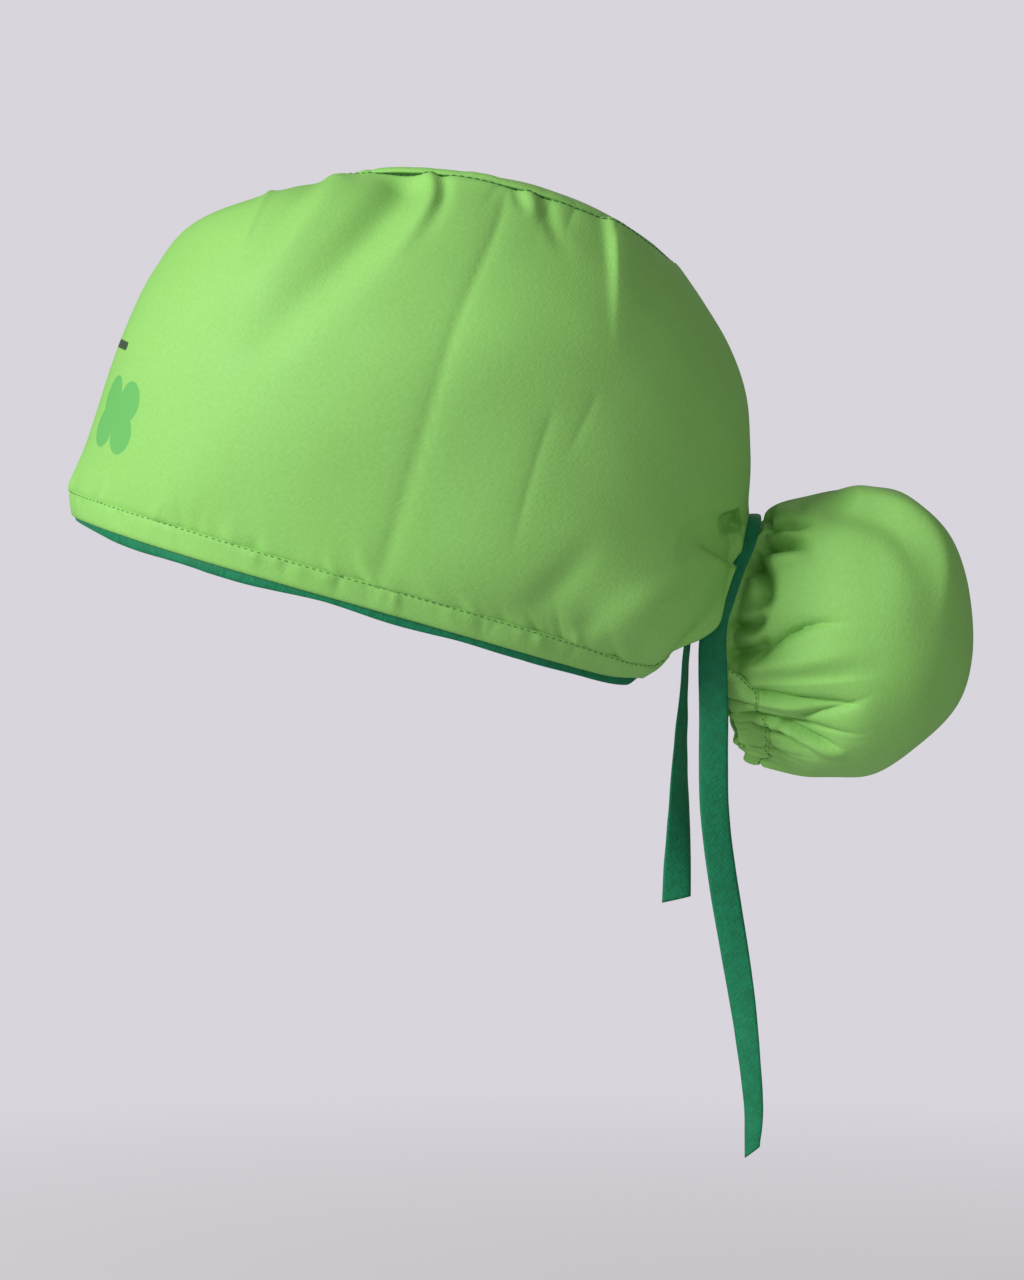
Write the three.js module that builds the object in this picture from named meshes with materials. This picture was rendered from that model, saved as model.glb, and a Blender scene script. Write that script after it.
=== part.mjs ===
// Scrub cap with a ponytail pouch, in millimetres.
// +Z is up, -Y is the wearer's front and +X the wearer's left.
// The origin is the centre of the head opening.
import * as THREE from "three";

// Driving dimensions
const CLOTH = 1.4; // wall of a single cloth panel
const CASING = 2.4; // wall of a folded casing
const RIBBON_WALL = 1.0;
const GAP = 0.45; // between neighbouring pieces
const HEM_HEIGHT = 8.5;
const LIP_HEIGHT = 11;

// Head opening: an oval in a plane that rises towards the forehead
const OPENING = { length: 203, width: 150, rise: 0.28, sideSag: 0.3, napeDrop: 3.2, square: 2.15 };
const HEM_END = 160; // degrees round the opening, where the hem stops beside the nape
const CORNER = 140; // the same place, in degrees round the panel

// Grid sizes
const BAND_COLUMNS = 60;
const BAND_STEP = 360 / BAND_COLUMNS; // degrees
const HEM_STOP = 138; // degrees round the panel, a whole number of steps
const BAND_ROWS = 11;
const CROWN_ROWS = 3;
const POUCH_COLUMNS = 40;
const POUCH_ROWS = 11;
const LIP_COLUMNS = 22;

// Level rings of the side band, from just above the hem to the crown seam.
// drop lowers the sides, and cornerDrop the two rear corners.
const BAND_RINGS = [
  { frontY: -102.4, frontZ: 37, backY: 134.0, backZ: 35, halfWidth: 78.5, drop: 26, cornerDrop: 34 },
  { frontY: -98.0, frontZ: 54, backY: 135.0, backZ: 51, halfWidth: 83.0, drop: 18, cornerDrop: 16 },
  { frontY: -91.5, frontZ: 72, backY: 133.0, backZ: 69, halfWidth: 86.5, drop: 10, cornerDrop: 4 },
  { frontY: -83.5, frontZ: 93, backY: 126.5, backZ: 88, halfWidth: 86.0, drop: 4, cornerDrop: 0 },
  { frontY: -74.0, frontZ: 113, backY: 118.5, backZ: 102, halfWidth: 79.0, drop: -2, cornerDrop: 0 },
  { frontY: -60.0, frontZ: 130, backY: 113.5, backZ: 109, halfWidth: 69.5, drop: -8, cornerDrop: 0 },
  { frontY: -22.8, frontZ: 142, backY: 107.5, backZ: 116, halfWidth: 57.0, drop: -15, cornerDrop: 0 },
];

// The rear corner's edge beside the nape. From there the arch follows the pouch's mouth.
const NAPE_EDGE = [
  { x: 28.2, y: 99.5, z: -27.6 },
  { x: 29.6, y: 107.0, z: -18.6 },
  { x: 29.8, y: 115.0, z: -13.8 },
  { x: 28.6, y: 120.6, z: -8.8 },
];
const ARCH_STOPS = [70, 56, 38, 20, 0]; // degrees from the top of the mouth

// Broad folds of the side band, as lines in the side view. side is 1 on the left and -1 on the right.
const FOLDS = [
  { side: 1, y0: 6, z0: 146, y1: -52, z1: 70, reach: 9, depth: -2.6 },
  { side: 1, y0: -14, z0: 138, y1: -44, z1: 104, reach: 8, depth: 1.8 },
  { side: 1, y0: 92, z0: -20, y1: 116, z1: -3, reach: 7, depth: -2.4 },
  { side: 1, y0: 84, z0: 132, y1: 88, z1: 86, reach: 7, depth: 1.8 },
  { side: 1, y0: 108, z0: 20, y1: 128, z1: 28, reach: 7, depth: -3.2 },
  { side: -1, y0: -10, z0: 142, y1: -40, z1: 72, reach: 10, depth: -2.2 },
  { side: -1, y0: 60, z0: 138, y1: 40, z1: 70, reach: 9, depth: -1.8 },
  { side: -1, y0: 90, z0: -18, y1: 118, z1: 4, reach: 8, depth: -2.6 },
  { side: -1, y0: 92, z0: 124, y1: 100, z1: 70, reach: 8, depth: 1.6 },
];

// Rings of the pouch, from its mouth to its closed end. forward brings the sides of a ring towards the cap.
const POUCH_RINGS = [
  { topY: 138.4, topZ: 24.4, lowY: 133.4, lowZ: -54.8, halfWidth: 26.5, forward: 12 },
  { topY: 144.5, topZ: 31.0, lowY: 143.5, lowZ: -59.0, halfWidth: 31.0, forward: 8 },
  { topY: 156.5, topZ: 35.4, lowY: 157.0, lowZ: -63.0, halfWidth: 37.5, forward: 4 },
  { topY: 171.5, topZ: 38.2, lowY: 173.5, lowZ: -63.4, halfWidth: 42.0, forward: 1 },
  { topY: 185.5, topZ: 37.4, lowY: 186.5, lowZ: -57.6, halfWidth: 41.5, forward: 0 },
  { topY: 196.5, topZ: 30.2, lowY: 198.0, lowZ: -48.0, halfWidth: 36.5, forward: 0 },
  { topY: 204.5, topZ: 20.0, lowY: 206.0, lowZ: -37.0, halfWidth: 28.0, forward: 0 },
  { topY: 209.5, topZ: 7.0, lowY: 210.5, lowZ: -24.0, halfWidth: 15.5, forward: 0 },
];
const POUCH_END = { y: 211.8, z: -8.5 };
const GATHERS = { count: 13, depth: 1.8, rise: 14, fade: 34 };

// Routes of the two ribbons. face is the direction that the flat of the ribbon looks to, and the
// ribbon is pulled narrow where it is tied round the neck of the pouch.
const TIE_LONG = [
  { x: -28.9, y: 127.0, z: -23.4, width: 5, face: [-0.94, -0.33, -0.11] },
  { x: -28.9, y: 127.8, z: -6.2, width: 5, face: [-0.91, -0.38, 0.14] },
  { x: -25.8, y: 130.9, z: 8.2, width: 5, face: [-0.75, -0.5, 0.43] },
  { x: -19.7, y: 135.0, z: 19.2, width: 5, face: [-0.43, -0.64, 0.64] },
  { x: -10.9, y: 138.4, z: 26.1, width: 5, face: [-0.13, -0.74, 0.66] },
  { x: 0.0, y: 139.7, z: 28.5, width: 5, face: [0, -0.78, 0.63] },
  { x: 10.9, y: 138.4, z: 26.1, width: 5, face: [0.13, -0.74, 0.66] },
  { x: 19.7, y: 135.0, z: 19.2, width: 5, face: [0.43, -0.64, 0.64] },
  { x: 25.9, y: 130.9, z: 8.2, width: 5, face: [0.75, -0.5, 0.43] },
  { x: 29.3, y: 128.2, z: -2.4, width: 5, face: [0.85, -0.5, 0.2] },
  { x: 31.8, y: 125.6, z: -12.0, width: 6, face: [0.8, -0.6, 0] },
  { x: 33.0, y: 123.0, z: -20.0, width: 8, face: [1, -0.2, 0] },
  { x: 33.2, y: 121.2, z: -29.0, width: 10, face: [1, 0, 0] },
  { x: 32.6, y: 120.4, z: -40.0, width: 10, face: [1, 0, 0] },
  { x: 31.8, y: 120.3, z: -54.0, width: 10, face: [1, 0, 0] },
  { x: 31.3, y: 120.8, z: -70.0, width: 10, face: [1, 0.1, 0] },
  { x: 31.0, y: 122.0, z: -86.0, width: 10, face: [1, 0.1, 0] },
  { x: 31.0, y: 124.2, z: -102.0, width: 10, face: [1, 0, 0] },
  { x: 31.4, y: 127.6, z: -121.0, width: 10, face: [1, -0.1, 0] },
  { x: 31.8, y: 130.6, z: -139.0, width: 10, face: [1, -0.1, 0] },
  { x: 32.0, y: 133.0, z: -157.0, width: 10, face: [1, 0, 0] },
  { x: 31.8, y: 133.9, z: -175.0, width: 10, face: [1, 0.1, 0] },
  { x: 31.6, y: 133.4, z: -191.0, width: 10, face: [1, 0.1, 0] },
];
const TIE_SHORT = [
  { x: 23.0, y: 111.4, z: -15.0, width: 10, face: [0.3, 1, 0] },
  { x: 22.6, y: 110.9, z: -22.0, width: 10, face: [0.3, 1, 0] },
  { x: 22.2, y: 110.3, z: -32.0, width: 10, face: [0.35, 1, 0] },
  { x: 21.8, y: 109.6, z: -43.0, width: 10, face: [0.5, 0.9, 0] },
  { x: 21.6, y: 109.0, z: -54.0, width: 10, face: [0.75, 0.7, 0] },
  { x: 21.5, y: 109.0, z: -66.0, width: 10, face: [0.9, 0.5, 0] },
  { x: 21.5, y: 109.2, z: -78.0, width: 10, face: [1, 0.3, 0] },
  { x: 21.6, y: 109.2, z: -90.0, width: 10, face: [1, 0.1, 0] },
  { x: 21.8, y: 108.8, z: -104.0, width: 10, face: [1, 0, 0] },
];
const TIE_LONG_STEPS = 50;
const TIE_SHORT_STEPS = 20;

const LIGHT_GREEN = 0x8cd468;
const DARK_GREEN = 0x14764a;
const cloth = new THREE.MeshStandardMaterial({ color: LIGHT_GREEN, roughness: 0.8, metalness: 0 });
const casing = new THREE.MeshStandardMaterial({ color: LIGHT_GREEN, roughness: 0.8, metalness: 0 });
const ribbonCloth = new THREE.MeshStandardMaterial({ color: DARK_GREEN, roughness: 0.7, metalness: 0 });

const radians = THREE.MathUtils.degToRad;
const mix = THREE.MathUtils.lerp;
const smooth = (value, from, to) => THREE.MathUtils.smoothstep(value, from, to);

// Sine and cosine of a rounded oval: 2 is an ellipse, and more is squarer
function oval(angle, square) {
  const bend = (value) => Math.sign(value) * Math.abs(value) ** (2 / square);
  return { across: bend(Math.sin(angle)), along: bend(Math.cos(angle)) };
}

// The head opening's edge, in degrees from the forehead
function openingPoint(degrees) {
  const { across, along } = oval(radians(degrees), OPENING.square);
  const y = (-OPENING.length / 2) * along;
  const sag = OPENING.sideSag * Math.sin(radians(degrees)) ** 2;
  const drop = OPENING.napeDrop * Math.max(0, -along) ** 2;
  const z = -OPENING.rise * y - sag - drop;
  return new THREE.Vector3((OPENING.width / 2) * across, y, z);
}

function pouchRingPoint(ring, degrees) {
  const angle = radians(degrees);
  const { across, along } = oval(angle, 2.2);
  const y = mix(ring.lowY, ring.topY, (1 + along) / 2) - ring.forward * Math.sin(angle) ** 2;
  return new THREE.Vector3(ring.halfWidth * across, y, mix(ring.lowZ, ring.topZ, (1 + along) / 2));
}

const archCurve = new THREE.CatmullRomCurve3([
  ...NAPE_EDGE.map(({ x, y, z }) => new THREE.Vector3(x, y, z)),
  ...ARCH_STOPS.map((degrees) => {
    const rim = pouchRingPoint(POUCH_RINGS[0], degrees);
    return rim.setY(rim.y - CLOTH - GAP);
  }),
]);

// The side band's lower edge: the hem line, and past each rear corner the arch over the pouch
function lowerEdge(degrees) {
  const fromFront = Math.abs(degrees);
  const side = Math.sign(degrees) || 1;
  const point = fromFront <= CORNER
    ? openingPoint((fromFront * HEM_END) / CORNER)
    : archCurve.getPointAt((fromFront - CORNER) / (180 - CORNER));
  point.x *= side;
  return point;
}

function bandRingPoint(ring, degrees) {
  const angle = radians(degrees);
  const { across, along } = oval(angle, OPENING.square);
  const y = mix(ring.frontY, ring.backY, (1 - along) / 2);
  const corner = Math.exp(-(((Math.abs(degrees) - CORNER) / 22) ** 2));
  const level = mix(ring.frontZ, ring.backZ, (1 - along) / 2);
  const z = level - ring.drop * Math.sin(angle) ** 2 - ring.cornerDrop * corner;
  return new THREE.Vector3(ring.halfWidth * across, y, z);
}

// Depth of the folds at a point of the band
function foldDepth(point) {
  let depth = 0;
  for (const fold of FOLDS) {
    if (Math.sign(point.x) !== fold.side) {
      continue;
    }
    const runY = fold.y1 - fold.y0;
    const runZ = fold.z1 - fold.z0;
    const length = Math.hypot(runY, runZ);
    const along = ((point.y - fold.y0) * runY + (point.z - fold.z0) * runZ) / length ** 2;
    const aside = ((point.y - fold.y0) * runZ - (point.z - fold.z0) * runY) / length;
    const ends = smooth(along, -0.15, 0.15) * (1 - smooth(along, 0.75, 1.1));
    depth += fold.depth * ends * Math.exp(-((aside / fold.reach) ** 2));
  }
  return depth;
}

// A column of the band from its lower edge to the crown seam, read by its length in millimetres
function bandColumn(degrees) {
  const points = [lowerEdge(degrees), ...BAND_RINGS.map((ring) => bandRingPoint(ring, degrees))];
  const curve = new THREE.CatmullRomCurve3(points, false, "centripetal");
  const length = curve.getLength();
  const start = curve.getPointAt(0);
  const down = curve.getTangentAt(0);
  return {
    length,
    at(rise) {
      return rise < 0 ? start.clone().addScaledVector(down, rise) : curve.getPointAt(Math.min(rise / length, 1));
    },
  };
}

// The normals of a grid of points, pointing away from the grid's inner side
function gridNormals(grid, closed) {
  const last = grid.length - 1;
  return grid.map((column, i) => {
    const before = grid[i > 0 ? i - 1 : closed ? last : 0];
    const after = grid[i < last ? i + 1 : closed ? 0 : last];
    return column.map((point, j) => {
      const down = column[Math.max(j - 1, 0)];
      const up = column[Math.min(j + 1, column.length - 1)];
      const round = new THREE.Vector3().subVectors(after[j], before[j]);
      return round.cross(new THREE.Vector3().subVectors(up, down)).normalize();
    });
  });
}

function moved(grid, normals, distance) {
  return grid.map((column, i) => column.map((point, j) => {
    const depth = typeof distance === "function" ? distance(point, i, j) : distance;
    return point.clone().addScaledVector(normals[i][j], depth);
  }));
}

// A closed body between two grids of the same size. pole is a pair of points that closes the far end.
function slab(outer, inner, closed, pole) {
  const columns = outer.length;
  const rows = outer[0].length;
  const positions = [...outer.flat(), ...inner.flat(), ...(pole ?? [])];
  const index = [];
  const vertex = (layer, i, j) => layer * columns * rows + (i % columns) * rows + j;
  const face = (a, b, c) => index.push(a, b, c);
  const quad = (a, b, c, d) => {
    face(a, b, c);
    face(a, c, d);
  };
  const spans = closed ? columns : columns - 1;
  const poles = 2 * columns * rows;
  for (let i = 0; i < spans; i += 1) {
    for (let j = 0; j < rows - 1; j += 1) {
      quad(vertex(0, i, j), vertex(0, i + 1, j), vertex(0, i + 1, j + 1), vertex(0, i, j + 1));
      quad(vertex(1, i, j), vertex(1, i, j + 1), vertex(1, i + 1, j + 1), vertex(1, i + 1, j));
    }
    quad(vertex(1, i, 0), vertex(1, i + 1, 0), vertex(0, i + 1, 0), vertex(0, i, 0));
    const top = rows - 1;
    if (pole) {
      face(vertex(0, i, top), vertex(0, i + 1, top), poles);
      face(vertex(1, i + 1, top), vertex(1, i, top), poles + 1);
    } else {
      quad(vertex(0, i, top), vertex(0, i + 1, top), vertex(1, i + 1, top), vertex(1, i, top));
    }
  }
  if (!closed) {
    const end = columns - 1;
    for (let j = 0; j < rows - 1; j += 1) {
      quad(vertex(0, 0, j), vertex(0, 0, j + 1), vertex(1, 0, j + 1), vertex(1, 0, j));
      quad(vertex(1, end, j), vertex(1, end, j + 1), vertex(0, end, j + 1), vertex(0, end, j));
    }
  }
  const geometry = new THREE.BufferGeometry();
  const numbers = positions.flatMap((point) => point.toArray());
  geometry.setAttribute("position", new THREE.Float32BufferAttribute(numbers, 3));
  geometry.setIndex(index);
  geometry.computeVertexNormals();
  return geometry;
}

function span(from, to, steps) {
  return Array.from({ length: steps + 1 }, (_, i) => mix(from, to, i / steps));
}

// Side band: one wall with an arch at the back, its lower rows making room for the hem
function sideBand() {
  const grid = [];
  for (let i = 0; i < BAND_COLUMNS; i += 1) {
    const degrees = -180 + BAND_STEP * i;
    const column = bandColumn(degrees);
    const hemRoom = (HEM_HEIGHT + GAP) * (1 - smooth(Math.abs(degrees), HEM_STOP, HEM_STOP + BAND_STEP));
    grid.push(span(hemRoom, column.length, BAND_ROWS).map((rise) => column.at(rise)));
  }
  const normals = gridNormals(grid, true);
  const outer = moved(grid, normals, (point, i, j) => (j === 0 || j === BAND_ROWS ? 0 : foldDepth(point)));
  return slab(outer, moved(outer, normals, -CLOTH), true);
}

const HEM_ANGLES = span(-HEM_STOP, HEM_STOP, (2 * HEM_STOP) / BAND_STEP);

// Hem: a strip of the same columns, folded and so thicker
function hemBand() {
  const grid = HEM_ANGLES.map((degrees) => {
    const column = bandColumn(degrees);
    return span(0, HEM_HEIGHT, 2).map((rise) => column.at(rise));
  });
  const normals = gridNormals(grid, false);
  return slab(moved(grid, normals, 0.3), moved(grid, normals, 0.3 - CASING), false);
}

// Ribbon behind the hem, which shows most beside the temple
function edgeRibbon() {
  const grid = HEM_ANGLES.map((degrees) => {
    const column = bandColumn(degrees);
    const shows = 1.6 + 2.4 * Math.exp(-(((Math.abs(degrees) - 62) / 42) ** 2));
    return [-shows, 4].map((rise) => column.at(rise));
  });
  const normals = gridNormals(grid, false);
  const back = CASING - 0.3 + GAP;
  return slab(moved(grid, normals, -back), moved(grid, normals, -back - RIBBON_WALL), false);
}

// Crown: an oval panel inside the seam, higher along its middle
function crownPanel() {
  const seam = BAND_RINGS.at(-1);
  const midY = (seam.frontY + seam.backY) / 2;
  const inset = 1 - (CLOTH + GAP) / seam.halfWidth;
  const rows = span(inset, 0.25, CROWN_ROWS);
  const place = (degrees, reach) => {
    const rim = bandRingPoint(seam, degrees);
    const middle = bandRingPoint(seam, 90);
    const level = mix(middle.z, rim.z, reach ** 2);
    const lift = 2.5 * (1 - reach ** 2.4);
    return new THREE.Vector3(rim.x * reach, mix(midY, rim.y, reach), level + lift);
  };
  const grid = [];
  for (let i = 0; i < BAND_COLUMNS * 2 / 3; i += 1) {
    const degrees = -180 + (540 * i) / BAND_COLUMNS;
    grid.push(rows.map((reach) => place(degrees, reach)));
  }
  const normals = gridNormals(grid, true);
  const top = place(0, 0);
  const pole = [top, top.clone().setZ(top.z - CLOTH)];
  return slab(grid, moved(grid, normals, -CLOTH), true, pole);
}

// A column of the pouch from its mouth to its closed end; 0 degrees is on top, 90 on the left
function pouchColumn(degrees) {
  const points = POUCH_RINGS.map((ring) => pouchRingPoint(ring, degrees));
  points.push(new THREE.Vector3(0, POUCH_END.y, POUCH_END.z));
  const curve = new THREE.CatmullRomCurve3(points, false, "centripetal");
  const length = curve.getLength();
  return { length, at: (run) => curve.getPointAt(run / length) };
}

// Gathers: radial pleats at the mouth that fade along the pouch
function gatherDepth(degrees, run) {
  const pleat = Math.cos(radians(degrees * GATHERS.count));
  return GATHERS.depth * pleat * smooth(run, 0, GATHERS.rise) * Math.exp(-((run / GATHERS.fade) ** 2));
}

const LIP_HALF = 72; // degrees each side of the lowest point of the mouth

function pouch() {
  const angles = Array.from({ length: POUCH_COLUMNS }, (_, i) => (360 * i) / POUCH_COLUMNS);
  const starts = angles.map((degrees) => {
    const fromLow = Math.abs(180 - degrees);
    return (LIP_HEIGHT + GAP) * (1 - smooth(fromLow, LIP_HALF + 2, LIP_HALF + 14));
  });
  const runs = angles.map((degrees, i) => {
    const column = pouchColumn(degrees);
    return span(starts[i], column.length * 0.965, POUCH_ROWS);
  });
  const grid = angles.map((degrees, i) => {
    const column = pouchColumn(degrees);
    return runs[i].map((run) => column.at(run));
  });
  const normals = gridNormals(grid, true);
  const outer = moved(grid, normals, (point, i, j) => gatherDepth(angles[i], runs[i][j]));
  const inner = moved(outer, normals, -CLOTH);
  const end = new THREE.Vector3(0, POUCH_END.y, POUCH_END.z);
  const pole = [end, end.clone().setY(end.y - CLOTH)];
  return slab(outer, inner, true, pole);
}

// Lip: the folded elastic casing under the mouth
function pouchCasing() {
  const angles = span(180 - LIP_HALF, 180 + LIP_HALF, LIP_COLUMNS);
  const runs = [0, LIP_HEIGHT];
  const grid = angles.map((degrees) => runs.map((run) => pouchColumn(degrees).at(run)));
  const normals = gridNormals(grid, false);
  const outer = moved(grid, normals, (point, i, j) => 0.3 + gatherDepth(angles[i], runs[j]));
  const inner = moved(outer, normals, -CASING);
  return slab(outer, inner, false);
}

// A flat ribbon along a route, its width square to both the route and the way it faces
function ribbon(route, steps) {
  const curve = new THREE.CatmullRomCurve3(route.map(({ x, y, z }) => new THREE.Vector3(x, y, z)));
  const facing = new THREE.CatmullRomCurve3(route.map(({ face }) => new THREE.Vector3(...face)));
  const front = [];
  const back = [];
  for (let i = 0; i <= steps; i += 1) {
    const t = curve.getUtoTmapping(i / steps);
    const middle = curve.getPoint(t);
    const forward = curve.getTangent(t);
    const across = new THREE.Vector3().crossVectors(forward, facing.getPoint(t)).normalize();
    const out = new THREE.Vector3().crossVectors(across, forward).normalize();
    const stop = Math.min(Math.floor(t * (route.length - 1)), route.length - 2);
    const width = mix(route[stop].width, route[stop + 1].width, t * (route.length - 1) - stop);
    const edge = (side, lift) => middle.clone()
      .addScaledVector(across, (side * width) / 2)
      .addScaledVector(out, (lift * RIBBON_WALL) / 2);
    front.push([edge(1, 1), edge(-1, 1)]);
    back.push([edge(1, -1), edge(-1, -1)]);
  }
  return slab(front, back, false);
}

const group = new THREE.Group();

function add(name, geometry, material) {
  const mesh = new THREE.Mesh(geometry, material);
  mesh.name = name;
  group.add(mesh);
}

add("side_band", sideBand(), cloth);
add("crown_panel", crownPanel(), cloth);
add("hem_band", hemBand(), casing);
add("edge_ribbon", edgeRibbon(), ribbonCloth);
add("ponytail_pouch", pouch(), cloth);
add("pouch_casing", pouchCasing(), casing);
add("tie_long", ribbon(TIE_LONG, TIE_LONG_STEPS), ribbonCloth);
add("tie_short", ribbon(TIE_SHORT, TIE_SHORT_STEPS), ribbonCloth);

export default group;
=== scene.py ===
# Scrub cap with a ponytail pouch: the looks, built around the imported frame.
# Shapes are worked out in millimetres in the frame's own axes and turned to metres when a mesh is made:
# +Z is up, -Y is the wearer's front and +X the wearer's left.
import math
import bpy
import numpy as np
from mathutils.kdtree import KDTree
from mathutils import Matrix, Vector


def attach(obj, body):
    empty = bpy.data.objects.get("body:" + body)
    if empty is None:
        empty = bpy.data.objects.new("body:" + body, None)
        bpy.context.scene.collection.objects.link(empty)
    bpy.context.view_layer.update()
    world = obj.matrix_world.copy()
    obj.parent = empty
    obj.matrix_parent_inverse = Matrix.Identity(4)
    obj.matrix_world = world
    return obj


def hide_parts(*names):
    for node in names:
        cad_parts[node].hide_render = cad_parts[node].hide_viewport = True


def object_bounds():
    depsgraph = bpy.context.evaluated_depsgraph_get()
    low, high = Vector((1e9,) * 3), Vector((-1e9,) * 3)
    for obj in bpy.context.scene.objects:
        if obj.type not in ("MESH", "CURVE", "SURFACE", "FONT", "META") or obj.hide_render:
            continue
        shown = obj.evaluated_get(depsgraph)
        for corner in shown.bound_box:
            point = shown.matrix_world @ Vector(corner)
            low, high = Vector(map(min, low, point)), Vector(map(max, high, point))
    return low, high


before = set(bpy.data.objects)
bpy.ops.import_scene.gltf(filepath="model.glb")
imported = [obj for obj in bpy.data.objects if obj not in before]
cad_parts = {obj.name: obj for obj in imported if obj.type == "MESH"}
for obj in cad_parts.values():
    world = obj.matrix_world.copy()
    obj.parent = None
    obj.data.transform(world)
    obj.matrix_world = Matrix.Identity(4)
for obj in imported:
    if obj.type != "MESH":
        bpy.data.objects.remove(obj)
CAD_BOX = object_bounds()
MM = 0.001

# Driving sizes in millimetres. They are the frame's, apart from these: CLOTH is 1.4 there, HEM_STRETCH and
# CORNER_LIFT are the looks' own, and the last of BAND_RINGS is 0.5 to 3.3 mm lower than the frame's.
HEM_HEIGHT = 8.5
LIP_HEIGHT = 11.0
HEM_STRETCH = 1.04
CORNER_LIFT = 2.4
CLOTH = 0.8
HEM_STOP = 138.0  # degrees round the panel, where the hem starts to narrow
HEM_LAST = 146.0  # and where it ends
CORNER_TOP = -19.6  # level of the top of the hem at the rear corner
CORNER = 140.0
HEM_END = 160.0  # degrees round the opening
LIP_HALF = 72.0  # degrees each side of the lowest point of the mouth
LIP_LAST = 84.0
OPENING = {
    "length": 203.0, "width": 150.0, "rise": 0.28, "side_sag": 0.3, "nape_drop": 3.2, "square": 2.15,
}

BAND_RINGS = [
    {"front": (-102.4, 37), "back": (134.0, 35), "half": 78.5, "drop": 26, "corner": 34},
    {"front": (-98.0, 54), "back": (135.0, 51), "half": 83.0, "drop": 18, "corner": 16},
    {"front": (-91.5, 72), "back": (133.0, 69), "half": 86.5, "drop": 10, "corner": 4},
    {"front": (-83.5, 93), "back": (126.5, 88), "half": 86.0, "drop": 4, "corner": 0},
    {"front": (-74.0, 113), "back": (118.5, 102), "half": 79.0, "drop": -2, "corner": 0},
    {"front": (-60.0, 130), "back": (113.5, 109), "half": 69.5, "drop": -8, "corner": 0},
    {"front": (-22.8, 141), "back": (107.5, 115.5), "half": 57.0, "drop": -12.5, "corner": 0},
]
NAPE_EDGE = [(28.2, 99.5, -27.6), (29.6, 107.0, -18.6), (29.8, 115.0, -13.8), (28.6, 120.6, -8.8)]
ARCH_STOPS = [70, 56, 38, 20, 0]  # degrees from the top of the mouth
ARCH_GAP = 3.2
POUCH_RINGS = [
    {"top": (138.4, 24.4), "low": (133.4, -54.8), "half": 26.5, "forward": 12},
    {"top": (144.5, 31.0), "low": (143.5, -59.0), "half": 31.0, "forward": 8},
    {"top": (156.5, 35.4), "low": (157.0, -63.0), "half": 37.5, "forward": 4},
    {"top": (171.5, 38.2), "low": (173.5, -63.4), "half": 42.0, "forward": 1},
    {"top": (185.5, 37.4), "low": (186.5, -57.6), "half": 41.5, "forward": 0},
    {"top": (196.5, 30.2), "low": (198.0, -48.0), "half": 36.5, "forward": 0},
    {"top": (204.5, 20.0), "low": (206.0, -37.0), "half": 28.0, "forward": 0},
    {"top": (209.5, 7.0), "low": (210.5, -24.0), "half": 15.5, "forward": 0},
]
POUCH_SQUARE = 2.2
POUCH_END = (211.8, -8.5)

# Ribbon routes: x, y, z, width, and the way that the flat of the ribbon faces. They are the looks' own, a
# few millimetres from the frame's round the neck of the pouch.
TIE_LONG = [
    (-27.8, 124.5, -23.4, 6, (-0.94, -0.33, -0.11)),
    (-28.6, 125.5, -6.2, 6, (-0.91, -0.38, 0.14)),
    (-25.8, 128.0, 8.2, 6, (-0.75, -0.5, 0.43)),
    (-20.2, 131.2, 19.6, 6, (-0.43, -0.64, 0.64)),
    (-10.6, 134.6, 25.8, 5.4, (-0.25, -0.15, 0.95)),
    (0.0, 135.4, 28.2, 5, (0, -0.1, 1)),
    (10.2, 135.4, 26.2, 5, (0.25, -0.15, 0.95)),
    (17.4, 133.0, 19.4, 5.6, (0.75, -0.2, 0.6)),
    (21.4, 128.2, 10.0, 6.6, (0.93, -0.2, 0.3)),
    (23.4, 124.6, 1.0, 7.4, (0.97, -0.15, 0.1)),
    (25.0, 121.6, -7.0, 8.2, (1, -0.05, 0)),
    (27.0, 120.2, -15.0, 9.4, (1, 0, 0)),
    (28.8, 120.2, -25.0, 10, (1, 0, 0)),
    (30.6, 120.4, -40.0, 10, (1, 0, 0)),
    (31.2, 120.3, -54.0, 10, (1, 0, 0)),
    (31.3, 120.6, -70.0, 10, (1, 0.1, 0)),
    (31.0, 122.2, -86.0, 10, (1, 0.15, 0)),
    (31.0, 124.6, -102.0, 10, (1, 0.1, 0)),
    (31.4, 127.8, -121.0, 9.6, (1, -0.1, 0)),
    (31.8, 130.6, -139.0, 9, (1, -0.3, 0)),
    (32.0, 132.8, -157.0, 8, (1, -0.45, 0)),
    (31.8, 134.4, -175.0, 7, (1, -0.5, 0)),
    (31.6, 134.0, -190.0, 5.6, (1, -0.5, 0)),
]
TIE_SHORT = [
    (23.0, 111.6, -15.0, 10, (0.25, 1, 0)),
    (22.6, 111.1, -22.0, 10, (0.27, 1, 0)),
    (22.2, 110.6, -32.0, 10, (0.32, 1, 0)),
    (21.8, 109.9, -43.0, 10, (0.42, 0.9, 0)),
    (21.6, 109.4, -54.0, 10, (0.52, 0.85, 0)),
    (21.5, 109.1, -66.0, 10, (0.66, 0.75, 0)),
    (21.5, 108.9, -78.0, 10, (0.8, 0.6, 0)),
    (21.6, 108.6, -90.0, 10, (0.92, 0.39, 0)),
    (21.8, 108.2, -104.0, 10, (1, 0.1, 0)),
]

# Folds are lines in the side view, (y, z) in millimetres, on one side of the cap. depth is + outwards.
# starts is the share of the line by which a fold is fully there, and fades the share where it starts to go.
# soft is a rounded valley or ridge, and crease a pressed line. pleat is easy on its left and steep on its
# right. step is only on its right, and comes back over its reach. hole has a flat bottom.
LEFT, RIGHT = 1, -1  # the wearer's sides, as the sign of x
FOLD_COLUMNS = ("side", "kind", "depth", "reach", "starts", "fades", "line")


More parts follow.
